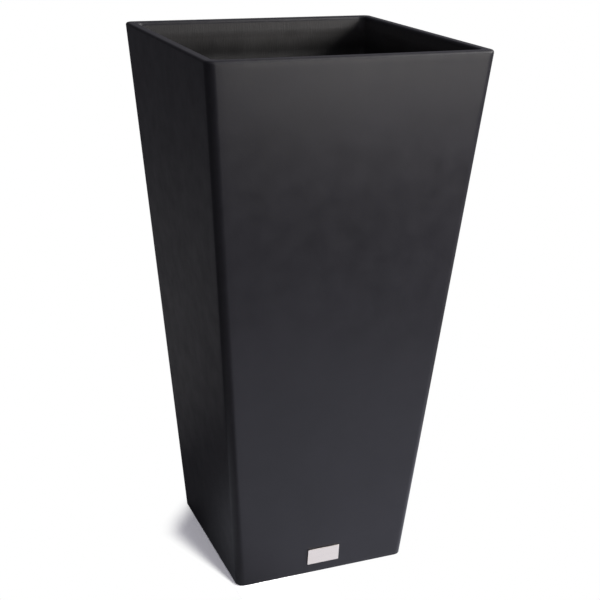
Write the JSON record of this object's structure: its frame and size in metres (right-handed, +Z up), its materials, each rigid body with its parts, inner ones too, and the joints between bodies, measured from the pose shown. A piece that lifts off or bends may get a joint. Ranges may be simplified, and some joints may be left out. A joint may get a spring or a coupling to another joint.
{
  "type": "tall planter",
  "caption": "Tall square planter that widens upward, with a thick rim, a raised base with plugged drain holes, a lift-out slotted shelf inside and a bare metal plate low on its front.",
  "frame": {"origin": "middle of the foot ring, on the floor", "axes": "+Z up from the foot to the rim; -Y is the front, the face that carries the plate; +X to the right of someone looking at the front"},
  "size_m": [0.3874, 0.3874, 0.762],
  "materials": {
    "fibreglass": "satin",
    "shelf_plastic": "matte",
    "plug_rubber": "matte",
    "tape_foam": "matte",
    "plate_metal": "satin"
  },
  "bodies": {
    "planter": {"planter_shell": "fibreglass", "plate_tape": "tape_foam", "front_plate": "plate_metal"},
    "shelf": {"insert_shelf": "shelf_plastic"},
    "plug_front_left": {"drain_plug_front_left": "plug_rubber"},
    "plug_front_right": {"drain_plug_front_right": "plug_rubber"},
    "plug_back_left": {"drain_plug_back_left": "plug_rubber"},
    "plug_back_right": {"drain_plug_back_right": "plug_rubber"}
  },
  "joints": [
    {"name": "shelf_lift", "type": "slide", "parent": "planter", "child": "shelf", "axis": [0, 0, 1], "range_m": [0, 0.345]},
    {"name": "plug_front_left_pull", "type": "slide", "parent": "planter", "child": "plug_front_left", "axis": [0, 0, 1], "range_m": [0, 0.03]},
    {"name": "plug_front_right_pull", "type": "slide", "parent": "planter", "child": "plug_front_right", "axis": [0, 0, 1], "range_m": [0, 0.03]},
    {"name": "plug_back_left_pull", "type": "slide", "parent": "planter", "child": "plug_back_left", "axis": [0, 0, 1], "range_m": [0, 0.03]},
    {"name": "plug_back_right_pull", "type": "slide", "parent": "planter", "child": "plug_back_right", "axis": [0, 0, 1], "range_m": [0, 0.03]}
  ]
}
